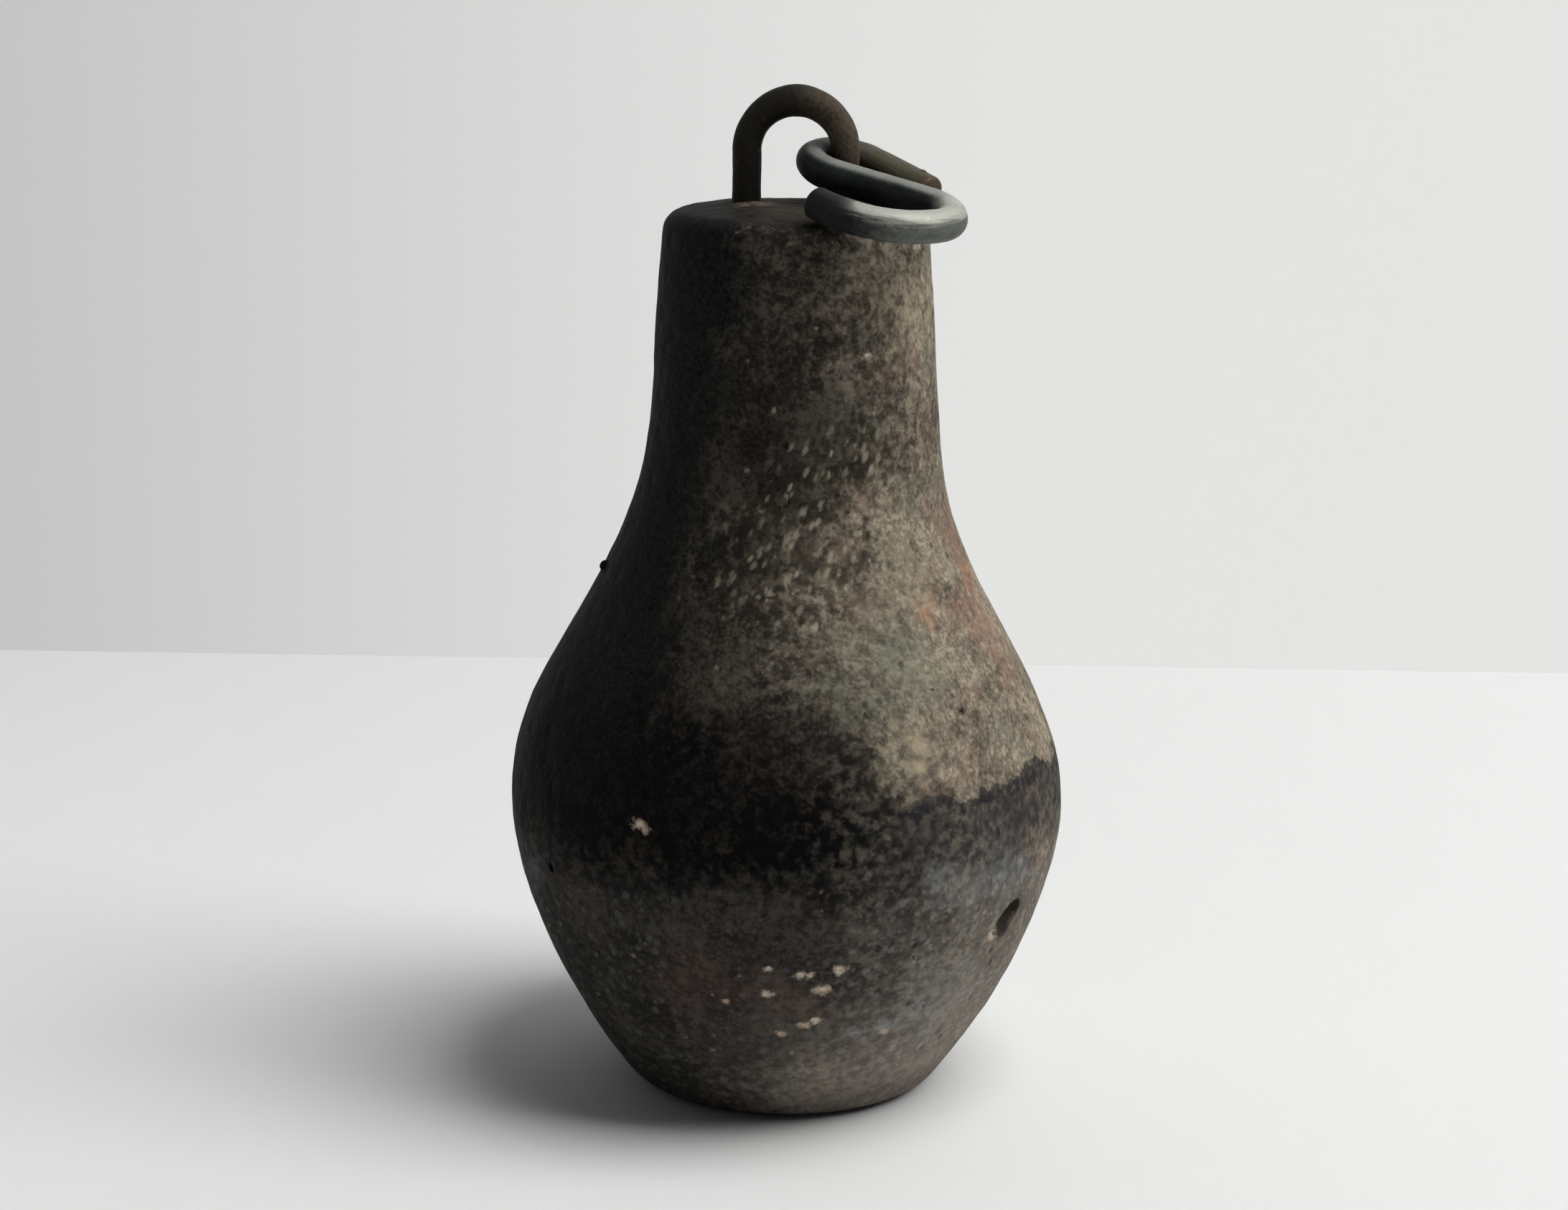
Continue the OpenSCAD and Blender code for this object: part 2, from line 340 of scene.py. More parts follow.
def storeWirePlaces(obj, path, swell=(), spacing=0.1):  # as if it were straight, for patterns along it
    fine, far, length = [], [], 0
    for a, b in zip(path, path[1:]):
        count = max(2, int((b - a).length / spacing))
        for i in range(count):
            fine.append(a.lerp(b, i / count))
            far.append((length + (b - a).length * i / count, (b - a).normalized()))
        length += (b - a).length
    tree = kdtree.KDTree(len(fine))
    for i, p in enumerate(fine):
        tree.insert((p.x * mm, p.y * mm, 0), i)
    tree.balance()
    store = obj.data.attributes.new("wirePlace", "FLOAT_VECTOR", "POINT")
    for v in obj.data.vertices:
        _, i, _ = tree.find((v.co.x, v.co.y, 0))
        reach, toward = far[i]
        off = Vector((v.co.x / mm - fine[i].x, v.co.y / mm - fine[i].y, v.co.z / mm))
        store.data[v.index].vector = (reach, toward.x * off.y - toward.y * off.x, off.z)
        if swell:  # share of the full thickness, and how far the middle moves to its left
            width, aside = (between([(at, pair[k]) for at, *pair in swell], reach / length) for k in (0, 1))
            off = off * width + Vector((-toward.y, toward.x, 0)) * aside
            v.co = Vector((fine[i].x + off.x, fine[i].y + off.y, off.z)) * mm


# The eye: a staple of rusty wire with its bent feet in the iron
wireEye = {  # millimetres
    "thickness": 3.75, "span": 12.2, "stand": 14.1, "depth": 24.5, "footBend": 3.6, "footLength": 2.4,
    "sides": 40, "footSteps": 6, "bendSteps": 12, "legSteps": 70, "archSteps": 56,
    "waves": 0.16, "waveSize": 6, "rust": 0.07, "rustSize": 1.3,
    "swell": ((0, 1, 0), (0.36, 0.935, -0.1), (0.43, 0.96, -0.06), (0.5, 1.05, 0), (0.57, 0.96, -0.06),
              (0.64, 0.935, -0.1), (1, 1, 0)),  # thickest at the top of the arch
}


def makeEye(e, top):
    archHeight = top + e["stand"] - e["thickness"] / 2 - e["span"] / 2
    leg = archHeight - (top - e["depth"] + e["footBend"])
    obj, pen = startWire("eyeWire", e["thickness"], e["sides"])
    ahead(pen, e["footLength"], e["footSteps"])
    around(pen, e["footBend"], 90, e["bendSteps"])
    ahead(pen, leg, e["legSteps"])
    around(pen, e["span"] / 2, -180, e["archSteps"])
    ahead(pen, leg, e["legSteps"])
    around(pen, e["footBend"], 90, e["bendSteps"])
    ahead(pen, e["footLength"], e["footSteps"])
    endWire(obj, pen, e["thickness"])
    storeWirePlaces(obj, pen["path"], e["swell"])
    roughen(obj, "eyeWaves", e["waveSize"] * mm, e["waves"] * mm)
    roughen(obj, "eyeRust", e["rustSize"] * mm, e["rust"] * mm)
    applyAll(obj)
    foot = Vector((-(e["footLength"] + e["footBend"]) - e["span"] / 2, 0, top - e["depth"]))
    obj.matrix_world = Matrix.Translation(foot * mm) @ Matrix.Rotation(math.pi / 2, 4, "X")
    placeInMesh(obj)
    return obj


# The hook: an S of galvanised wire
wireHook = {  # millimetres and degrees
    "thickness": 4.0, "play": 0.47, "backLength": 10.5, "close": 25, "middleLength": 12.5,
    "tightRadius": 4.0, "tightTurn": 114, "wideRadius": 10.3, "wideTurn": 91, "endLength": 0.8, "bevel": 0.5,
    "turn": -20, "tip": 14, "fall": 9, "pull": 0.16,  # how it lies, and how far it is off the leg's middle
    "sides": 44, "steps": (40, 60, 48, 32, 60, 2),  # in each stretch, from the back end on
    "waves": 0.12, "waveSize": 5, "skin": 0.035, "skinSize": 1.1,
    "burr": (2.2, -0.3, 1.85), "burrSize": (1.3, 0.7, 0.6),
}


def makeHook(h, e):
    bend = (e["thickness"] + h["thickness"]) / 2 + h["play"]
    obj, pen = startWire("hookWire", h["thickness"], h["sides"], h["bevel"])
    steps = h["steps"]
    ahead(pen, h["backLength"] - h["bevel"], steps[0])
    around(pen, bend, 180 + h["close"], steps[1])
    ahead(pen, h["middleLength"], steps[2])
    around(pen, h["tightRadius"], -h["tightTurn"], steps[3])
    around(pen, h["wideRadius"], -h["wideTurn"], steps[4])
    ahead(pen, h["endLength"] - h["bevel"], steps[5])
    endWire(obj, pen, h["thickness"], h["bevel"])
    roughen(obj, "hookWaves", h["waveSize"] * mm, h["waves"] * mm)
    roughen(obj, "hookSkin", h["skinSize"] * mm, h["skin"] * mm)
    applyAll(obj)
    cut(obj, roughStone(h["burrSize"], Matrix.Translation(Vector(h["burr"]) * mm), seed=60), "UNION")
    storeWirePlaces(obj, pen["path"])
    centre = Vector((h["backLength"], bend, 0)) * mm  # of the bend that goes round the eye
    turnBack = Matrix.Rotation(math.radians(-180 - h["close"]), 4, "Z")  # the middle leg runs along +X
    lay = (Matrix.Rotation(math.radians(h["fall"]), 4, "Y") @ Matrix.Rotation(math.radians(h["tip"]), 4, "X")
           @ Matrix.Rotation(math.radians(h["turn"]), 4, "Z"))
    obj.matrix_world = (Matrix.Translation(((e["span"] / 2 + h["pull"]) * mm, 0, 0)) @ lay @ turnBack
                        @ Matrix.Translation(-centre))
    placeInMesh(obj)
    low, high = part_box("s_hook")
    heights = [v.co.z for v in obj.data.vertices]
    lift = (low[2] + high[2]) / 2 - (min(heights) + max(heights)) / 2
    for v in obj.data.vertices:
        v.co.z += lift
    return obj


eyeWire = makeEye(wireEye, castingRings(bobCasting)[-1][1])
print("eye wire modelled")
hookWire = makeHook(wireHook, wireEye)
print("hook modelled")
castingBody = makeCasting(bobCasting, wireEye)
print("casting modelled")


# Shades are written as they look on screen, 0 to 255
def shade(red, green, blue):
    def straight(value):
        value /= 255
        return value / 12.92 if value <= 0.04045 else ((value + 0.055) / 1.055) ** 2.4
    return (straight(red), straight(green), straight(blue), 1)


def tonesOf(look):
    return {key: shade(*value) for key, value in look.items()
            if isinstance(value, tuple) and isinstance(value[0], int)}


def addNode(tree, kind, inputs=None, **settings):
    node = tree.nodes.new(kind)
    node.location = (220 * (len(tree.nodes) % 12), -220 * (len(tree.nodes) // 12))
    for key, value in settings.items():
        setattr(node, key, value)
    for key, value in (inputs or {}).items():
        if isinstance(value, bpy.types.NodeSocket):
            tree.links.new(value, node.inputs[key])
        else:
            node.inputs[key].default_value = value
    return node


def sums(tree, operation, a, b=0.0, c=0.0, clamp=False):
    return addNode(tree, "ShaderNodeMath", {0: a, 1: b, 2: c}, operation=operation, use_clamp=clamp).outputs[0]


def times(tree, a, b):
    return sums(tree, "MULTIPLY", a, b)


def plus(tree, value, *parts):  # each part is a mask and how much of it is added
    for mask, amount in parts:
        value = sums(tree, "MULTIPLY_ADD", mask, amount, value)
    return value


def most(tree, *values):
    result = values[0]
    for value in values[1:]:
        result = sums(tree, "MAXIMUM", result, value)
    return result


def spread(tree, value, low, high):  # 0 below low, 1 above high, soft between
    return addNode(tree, "ShaderNodeMapRange", {"Value": value, "From Min": low, "From Max": high},
                   interpolation_type="SMOOTHSTEP").outputs[0]


def vectors(tree, operation, a, b, c=(0, 0, 0)):
    return addNode(tree, "ShaderNodeVectorMath", {0: a, 1: b, 2: c}, operation=operation).outputs


def axes(tree, place):
    return addNode(tree, "ShaderNodeSeparateXYZ", {0: place}).outputs


def tint(tree, colour, mask, share, tone):  # lays a tone over part of a colour
    factor = sums(tree, "MULTIPLY", mask, share, clamp=True)
    return addNode(tree, "ShaderNodeMix", {0: factor, 6: colour, 7: tone}, data_type="RGBA").outputs[2]


def newGroup(name, takes, gives):
    group = bpy.data.node_groups.new(name, "ShaderNodeTree")
    group.interface.new_socket("Place", in_out="INPUT", socket_type="NodeSocketVector")
    for title, value in takes.items():
        made = group.interface.new_socket(title, in_out="INPUT", socket_type="NodeSocketFloat")
        made.default_value = value
    group.interface.new_socket(gives, in_out="OUTPUT", socket_type="NodeSocketFloat")
    start = addNode(group, "NodeGroupInput")
    end = addNode(group, "NodeGroupOutput")
    return group, start.outputs, end.inputs[gives]


def pattern(tree, group, place, settings):  # what a group puts out there
    return addNode(tree, "ShaderNodeGroup", {"Place": place, **settings}, node_tree=group).outputs[0]


def makePatches():  # soft irregular patches of about one size
    group, takes, end = newGroup("patches", {"Size": 5.0, "Low": 0.4, "High": 0.6}, "Mask")
    cloud = addNode(group, "ShaderNodeTexNoise", {
        "Vector": takes["Place"], "Scale": sums(group, "DIVIDE", 1.0, takes["Size"]), "Detail": 3.0,
        "Roughness": 0.55, "Distortion": 0.2}).outputs[0]
    group.links.new(spread(group, cloud, takes["Low"], takes["High"]), end)
    return group


def makeDabs():  # single small ragged spots, only in some of the cells
    group, takes, end = newGroup("dabs", {"Size": 1.0, "Share": 0.3, "Ragged": 0.3, "Grow": 1.0}, "Mask")
    small = vectors(group, "MULTIPLY", takes["Place"], sums(group, "DIVIDE", 1.0, takes["Size"]))[0]
    wobble = addNode(group, "ShaderNodeTexNoise", {"Vector": small, "Scale": 1.5, "Detail": 2.0}).outputs[1]
    wobble = vectors(group, "SUBTRACT", wobble, (0.5, 0.5, 0.5))[0]
    wobble = vectors(group, "MULTIPLY", wobble, takes["Ragged"])[0]
    moved = vectors(group, "ADD", small, wobble)[0]
    cell = addNode(group, "ShaderNodeTexVoronoi", {"Vector": moved, "Scale": 0.5}).outputs
    chance, bigger, stronger = addNode(group, "ShaderNodeSeparateColor", {0: cell["Color"]}).outputs
    reach = times(group, plus(group, 0.14, (bigger, 0.22)), takes["Grow"])
    close = spread(group, cell["Distance"], reach, times(group, reach, 0.4))
    mask = times(group, close, plus(group, 0.5, (stronger, 0.5)))
    chosen = sums(group, "LESS_THAN", chance, takes["Share"])
    group.links.new(times(group, mask, chosen), end)
    return group


def makeGrain():  # height of a sandy or pitted skin
    group, takes, end = newGroup("grain", {"Size": 0.6, "Pits": 0.5}, "Height")
    scale = sums(group, "DIVIDE", 1.0, takes["Size"])
    sand = addNode(group, "ShaderNodeTexNoise", {"Vector": takes["Place"], "Scale": scale, "Detail": 4.0,
                                                 "Roughness": 0.6}).outputs[0]
    wider = times(group, scale, 0.7)
    cells = addNode(group, "ShaderNodeTexVoronoi", {"Vector": takes["Place"], "Scale": wider},
                    feature="SMOOTH_F1").outputs["Distance"]
    group.links.new(plus(group, sand, (spread(group, cells, 0.0, 0.5), takes["Pits"])), end)
    return group


patches, dabs, grain = makePatches(), makeDabs(), makeGrain()


def newMaterial(name, metallic, specular):
    material = bpy.data.materials.new(name)
    material.use_nodes = True
    body = material.node_tree.nodes["Principled BSDF"]
    body.inputs["Metallic"].default_value = metallic
    body.inputs["Specular IOR Level"].default_value = specular
    return material, material.node_tree, body


def addBumps(tree, body, steps):  # strength, depth in millimetres and height
    under = {}
    for strength, depth, height in steps:
        bump = addNode(tree, "ShaderNodeBump", {"Strength": strength, "Distance": depth * mm, "Height": height,
                                                **under})
        under = {"Normal": bump.outputs[0]}
    tree.links.new(under["Normal"], body.inputs["Normal"])


def placeInMillimetres(tree):
    where = addNode(tree, "ShaderNodeTexCoord").outputs["Object"]
    return addNode(tree, "ShaderNodeMapping", {0: where, "Scale": (1 / mm,) * 3}).outputs[0]


def spotAt(tree, place, point, size, soft=0.5, crumble=None):  # mask round a point of the surface
    away = vectors(tree, "DISTANCE", place, point)["Value"]
    if crumble:
        away = plus(tree, away, (crumble, size))
    return spread(tree, away, size, size * (1 - soft))


def spots(tree, place, points, soft, crumble=None):  # one mask for several places
    return most(tree, 0.0, *[spotAt(tree, place, point, size, soft, crumble) for point, size in points])


castIronLook = {  # tones as on screen, places and sizes in millimetres
    "dark": (80, 73, 64), "middle": (120, 109, 95), "light": (162, 151, 131),
    "rosy": (120, 98, 88), "mossy": (106, 110, 98), "below": (86, 85, 85),
    "crustAndShade": (24, 22, 20), "crustAndShadeGrain": (74, 69, 62), "dullBelow": (36, 36, 38),
    "slate": (138, 139, 137), "dullSlate": (76, 77, 76), "streak": (182, 166, 136),
    "gap": (42, 40, 35), "flake": (182, 176, 152), "sootAndShade": (8, 10, 11), "sootAndShadeGrain": (30, 32, 32),
    "band": (44, 43, 44), "black": (9, 9, 9), "blackGrain": (38, 34, 30), "speck": (152, 145, 126),
    "pit": (30, 25, 24), "chip": (214, 205, 184), "rosyChip": (196, 160, 138), "rim": (41, 35, 29),
    "lower": (172, 158, 146), "foot": (46, 43, 39), "mound": (146, 130, 114),
    "shares": {  # how much of a tone shows where its mask is full
        "rosy": 0.45, "mossy": 0.4, "below": 0.5, "fleck": 0.35, "crustAndShadeGrain": 0.75, "crustAndShade": 0.92,
        "dullBelow": 0.3, "slate": 0.85, "streak": 0.75, "gap": 0.6, "flake": 0.5,
        "sootAndShadeGrain": 0.8, "sootAndShade": 0.94, "blackGrain": 0.45, "band": 1.0, "blotch": 1.0,
        "speck": 0.6, "black": 0.75, "pit": 0.8, "chip": 1.0, "rosyChip": 0.75,
        "rim": 0.75, "lower": 0.22, "foot": 0.35, "contact": 0.7, "mound": 0.45,
    },
    "drift": {"Scale": 0.14, "Detail": 4.0, "Roughness": 0.6}, "bend": 18,  # how edges wander, and how far
    "cloud": {"Size": 9.0, "Low": 0.3, "High": 0.7}, "cloudLift": 0.34,
    "soft": {"Size": 1.3, "Low": 0.32, "High": 0.68}, "softLift": 0.3,
    "grains": {"Size": 0.5, "Low": 0.3, "High": 0.7}, "grainLift": 0.36,
    "flecks": {"Size": 0.55, "Share": 0.5, "Ragged": 0.7, "Grow": 1.5},
    "dots": {"Size": 0.75, "Share": 0.7, "Ragged": 0.9, "Grow": 1.7},
    "flakes": {"Size": 0.8, "Share": 0.8, "Ragged": 0.8, "Grow": 1.7},
    "flakeLean": 24, "flakeStretch": (0.65, 0.65, 1.45),  # degrees, and how long they are
    "specks": {"Size": 0.8, "Share": 0.09, "Ragged": 0.8},
    "blacks": {"Size": 1.0, "Share": 0.25, "Ragged": 0.8},
    "crumble": {"Scale": 1.15, "Detail": 4.0, "Roughness": 0.7}, "crumbleBy": 2.2, "chipSquash": 1.35,
    "sand": {"Size": 0.75, "Pits": 0.7}, "coarse": {"Size": 2.4, "Pits": 0.9},
    "bump": 0.6, "coarseDepth": 0.35, "sandDepth": 0.13, "flakeDepth": 0.12,
    "middleAt": (0.12, 0.52), "lightAt": (0.45, 0.85), "hueAt": 0.16,  # where the mottling takes these tones
    "belowAt": (44.0, 34.0),  # from here down it is greyer
    # the crust is partly real and partly painted shade, on the side away from the lamp
    "crustAndShadeAt": 11.0, "crustAndShadeFades": (13.0, -9.0), "crustAndShadeWander": 16.0, "crustAndShadeSoft": 5.0,
    "crustAndShadeBack": (2.0, 26.0), "crustAndShadeBackBy": 14.0,  # it thins out on the back too
    "crustAndShadeShifts": [(72, 10, -12.0), (87, 9, 5.0), (61, 9, -5.0), (28, 10, 3.0), (2, 14, -13.0)],
    # the soot is partly painted shade of the left side, away from the lamp
    "sootAndShadeAt": -4.8, "sootAndShadeLean": 0.142,  # its edge on the neck, and how it falls to the left
    "sootAndShadeFades": (5.5, -4.0), "sootAndShadeWander": 14.0, "sootAndShadeSoft": 1.6,
    "sootAndShadeHeights": (36.0, 43.0), "sootAndShadeRagged": 16.0, "sootAndShadeBack": (22.0, 1.0), "sootAndShadeBackShare": 0.45,
    "bandHeights": (29.0, 39.0), "bandTop": 44.3, "bandRagged": 9.0, "bandSoft": -1.2, "bandOnCrustAndShade": 14.0,
    "lineTop": (0.3, -0.6), "lineFoot": (-4.2, -1.4),  # the dark line at the band's upper edge, from the band's top
    "blotchAt": (-13.5, -29, 60), "blotchSize": 16.0, "blotchSquash": 1.25,
    "crownSide": (-12.0, 1.0), "lowerHeights": (27.0, 9.0), "lowerSide": (-17.0, 13.0),
    "footHeights": (9.0, 1.0), "paintedContactShadowHeights": (1.4, 0.2),
    "zones": (  # tone, how strong, and where
        ((112, 115, 101), 0.45, (((11.2, -24.4, 59.5), 11), ((8.7, -28.4, 54.4), 8),
                                 ((-18.6, -22.3, 15.9), 10))),
        ((142, 108, 92), 0.45, (((23.9, -9.4, 61.4), 9), ((20.3, -6.2, 70.6), 9), ((-5, 22, 70), 12))),
        ((168, 114, 84), 0.55, (((16.5, -17.2, 64.9), 3.4), ((22.2, -5.4, 66.8), 3), ((12, 28, 40), 5))),
        ((110, 74, 58), 0.6, (((-10.2, -22.6, 63.1), 8), ((-8.2, -29.9, 51.9), 5), ((-25, 12, 30), 14))),
        ((136, 138, 138), 0.4, (((22.0, -27.2, 35.6), 9), ((26.5, -22.8, 34.0), 8), ((18.3, -23.1, 16.8), 9),
                                ((-29, 14, 44), 12))),
        ((176, 163, 140), 0.35, (((16.5, -27.9, 50.1), 7), ((12.0, -31.0, 48.6), 6), ((7.2, -34.2, 37.5), 5),
                                 ((14.2, -9.4, 98.7), 8), ((8.2, -15.6, 90.0), 7), ((15.5, -18.0, 69.0), 9),
                                 ((20, 22, 58), 12))),
        ((76, 68, 60), 0.55, (((24, 13, 60), 9), ((33, 10, 33), 9), ((16, 6, 94), 8), ((12, 17, 80), 9),
                              ((20, 24, 22), 10), ((2, 33, 48), 9), ((-14, 10, 96), 9))),
        ((128, 84, 62), 0.4, (((31, 12, 48), 6), ((20, 9, 74), 6), ((-4, 20, 72), 7), ((10, 27, 16), 6))),
    ),
    "stainsAndPaintedLight": (  # the same, over the dark crust; some of them are painted light, as marked
        # painted shadow: near black on the front of the neck
        ((10, 10, 10), 0.62, (((-5.5, -17.0, 90.0), 6), ((-3.0, -17.6, 84.0), 6.5), ((0.0, -18.6, 78.0), 7),
                              ((3.0, -20.4, 71.5), 5.5), ((-4.5, -21.0, 72.0), 6))),
        ((98, 72, 62), 0.36, (((-0.5, -30.6, 19.3), 6.5), ((-9.0, -31.6, 24.0), 7),
                              ((-12.2, -28.9, 21.1), 6))),
        ((150, 155, 156), 0.65, (((8.0, -26.7, 13.6), 2.6), ((12.2, -25.3, 14.1), 3.2),
                                 ((17.6, -30.2, 35.0), 4))),
        ((158, 146, 134), 0.4, (((22.1, -19.7, 17.0), 9), ((18.0, -17.0, 7.0), 7))),
        # pale specks on the left edge, partly real and partly a painted sheen
        ((104, 110, 108), 0.4, (((-32.8, -12.3, 36.2), 5), ((-31.5, -12.9, 29.3), 5))),
    ),
    "streakAt": (((15.6, -28.0, 51.2), 1.9), ((15.9, -28.9, 48.6), 1.8), ((16.2, -29.6, 46.2), 1.5)),
    "flakedAt": (((-1.7, -21.4, 70.0), 9.0), ((4.6, -20.2, 72.3), 8.0), ((0.9, -23.2, 66.1), 6.5),
                 ((8.5, -16.7, 82.9), 6.5), ((2.6, -18.4, 80.0), 6.0), ((6, 24, 62), 8)),
    "pitsAt": (((-28.4, -19.5, 32.6), 0.9), ((25.8, -18.1, 25.6), 2.3), ((26.3, -18.0, 27.1), 2.4),
               ((27.3, -16.9, 28.4), 2.2)),  # the last three are the blow-hole
    "chipsAt": (((-17.5, -29.9, 41.3), 1.3), ((-16.7, -30.2, 40.7), 0.9), ((-2.0, -31.2, 20.8), 1.1),
                ((4.6, -31.1, 21.4), 1.5), ((6.7, -31.8, 24.1), 1.3), ((1.9, -32.0, 23.6), 1.2),
                ((3.0, -31.9, 23.5), 1.0), ((-2.0, -32.3, 24.4), 0.8), ((-7.0, -29.8, 19.3), 0.8),
                ((-0.2, -28.4, 15.0), 1.0), ((2.6, -29.1, 16.3), 1.1), ((3.8, -29.2, 16.9), 1.0),
                ((12.2, -25.3, 14.1), 0.9), ((25.6, -20.5, 25.1), 1.5), ((25.7, -20.1, 25.6), 2.0),
                ((25.8, -19.9, 26.3), 1.6), ((8.6, -15.0, 95.5), 1.0), ((14.6, -7.7, 107.9), 1.7)),
    "moundAt": (((-4.0, -2.4, 112.4), 2.4), ((-6.4, -3.2, 112.3), 1.8), ((2.0, -1.6, 112.2), 1.8)),
}


def makeCastIron(look):
    material, tree, body = newMaterial("agedCastIron", 0.05, 0.03)
    tones, shares = tonesOf(look), look["shares"]
    place = placeInMillimetres(tree)
    x, y, z = axes(tree, place)
    drift = addNode(tree, "ShaderNodeTexNoise", {"Vector": place, **look["drift"]}).outputs[1]
    drift = vectors(tree, "SUBTRACT", drift, (0.5, 0.5, 0.5))[0]
    bent = vectors(tree, "MULTIPLY_ADD", drift, (look["bend"],) * 3, place)[0]
    wander, hue, ragged = axes(tree, drift)
    aside = addNode(tree, "ShaderNodeMapping", {0: place, "Location": (31, 17, 5)}).outputs[0]

    # Mottling: clouds, soft spots and grains
    cloud = pattern(tree, patches, place, look["cloud"])
    soft = pattern(tree, patches, place, look["soft"])
    grains = pattern(tree, patches, aside, look["grains"])
    lift = plus(tree, 0.0, (soft, look["softLift"]), (cloud, look["cloudLift"]), (grains, look["grainLift"]))
    colour = tint(tree, tones["dark"], spread(tree, lift, *look["middleAt"]), 1.0, tones["middle"])
    colour = tint(tree, colour, spread(tree, lift, *look["lightAt"]), 1.0, tones["light"])

    def lay(mask, name, tone=None):  # over all that is there so far
        nonlocal colour
        colour = tint(tree, colour, mask, shares[name], tones[name] if tone is None else tone)

    def layPatches(zones):
        nonlocal colour
        for tone, share, points in zones:
            mask = times(tree, spots(tree, bent, points, 1.0), plus(tree, 0.6, (soft, 0.7)))
            colour = tint(tree, colour, mask, share, shade(*tone))

    lay(spread(tree, hue, 0.0, look["hueAt"]), "rosy")
    lay(spread(tree, hue, 0.0, -look["hueAt"]), "mossy")
    below = spread(tree, plus(tree, z, (cloud, 6.0)), *look["belowAt"])
    lay(below, "below")
    layPatches(look["zones"])

    # A dark crust, partly real and partly painted shade on the side away from the lamp, thins out towards the
    # right, further left round the shoulder and the foot
    start = look["crustAndShadeAt"]
    for height, reach, amount in look["crustAndShadeShifts"]:
        off = sums(tree, "ABSOLUTE", sums(tree, "SUBTRACT", z, height))
        start = plus(tree, start, (spread(tree, off, reach, reach * 0.2), amount))
    behind = spread(tree, y, *look["crustAndShadeBack"])
    over = plus(tree, sums(tree, "SUBTRACT", x, start), (wander, look["crustAndShadeWander"]),
                (soft, look["crustAndShadeSoft"]), (behind, look["crustAndShadeBackBy"]))
    crustAndShade = spread(tree, over, *look["crustAndShadeFades"])
    flecks = pattern(tree, dabs, aside, look["flecks"])
    lay(flecks, "fleck", tones["flake"])
    uneven = plus(tree, spread(tree, lift, 0.25, 0.8), (flecks, 0.4))
    lay(crustAndShade, "crustAndShade", tint(tree, tones["crustAndShade"], uneven, shares["crustAndShadeGrain"], tones["crustAndShadeGrain"]))
    lay(times(tree, crustAndShade, below), "dullBelow")
    dots = pattern(tree, dabs, place, look["dots"])
    lay(times(tree, dots, below), "slate", tint(tree, tones["slate"], crustAndShade, 1.0, tones["dullSlate"]))
    layPatches(look["stainsAndPaintedLight"])
    lay(spots(tree, place, look["streakAt"], 1.0), "streak")

    # Where the crust has broken up into pale flakes
    flaked = spots(tree, bent, look["flakedAt"], 0.55)
    lay(times(tree, flaked, sums(tree, "SUBTRACT", 1.2, soft)), "gap")
    leaning = {"Rotation": (0, math.radians(look["flakeLean"]), 0), "Scale": look["flakeStretch"]}
    along = addNode(tree, "ShaderNodeMapping", {0: place, **leaning}, vector_type="TEXTURE").outputs[0]
    flakes = times(tree, pattern(tree, dabs, along, look["flakes"]), flaked)
    lay(flakes, "flake")

    # Soot over the left side, thinner on the back: partly real soot and partly painted shade of the side away
    # from the lamp
    down = sums(tree, "SUBTRACT", bobCasting["rimHeight"], z)
    ahead = sums(tree, "SUBTRACT", plus(tree, x, (down, look["sootAndShadeLean"])), look["sootAndShadeAt"])
    ahead = plus(tree, ahead, (wander, look["sootAndShadeWander"]), (soft, look["sootAndShadeSoft"]))
    height = plus(tree, z, (ragged, look["sootAndShadeRagged"]))
    sootAndShade = times(tree, spread(tree, ahead, *look["sootAndShadeFades"]), spread(tree, height, *look["sootAndShadeHeights"]))
    thin = look["sootAndShadeBackShare"]
    sootAndShade = times(tree, sootAndShade, plus(tree, thin, (spread(tree, y, *look["sootAndShadeBack"]), 1 - thin)))
    lay(sootAndShade, "sootAndShade", tint(tree, tones["sootAndShade"], grains, shares["sootAndShadeGrain"], tones["sootAndShadeGrain"]))

    # The dark band round the belly, with its sharp upper line, and the blotch above it
    edge = plus(tree, z, (soft, look["bandSoft"]), (ragged, look["bandRagged"]))
    edge = sums(tree, "SUBTRACT", edge, look["bandTop"])  # height over the band's top
    low, high = (height - look["bandTop"] for height in look["bandHeights"])
    upper = plus(tree, look["lineTop"][0], (crustAndShade, look["bandOnCrustAndShade"]))
    band = times(tree, spread(tree, edge, low, high), spread(tree, edge, upper, -1.6))
    line = times(tree, spread(tree, edge, *look["lineTop"]), spread(tree, edge, *look["lineFoot"]))
    band = most(tree, times(tree, band, plus(tree, 0.85, (crustAndShade, 0.2))), line)
    grainy = spread(tree, lift, 0.4, 0.85)
    blackTone = tint(tree, tones["black"], grainy, shares["blackGrain"], tones["blackGrain"])
    lay(times(tree, band, plus(tree, 1.08, (soft, -0.3))), "band",
        tint(tree, tones["band"], crustAndShade, 1.15, blackTone))
    flatter = vectors(tree, "MULTIPLY", bent, (1, 1, look["blotchSquash"]))[0]
    blotch = spotAt(tree, flatter, look["blotchAt"], look["blotchSize"], 0.75)
    lay(times(tree, blotch, plus(tree, 1.15, (soft, -0.4))), "blotch", blackTone)

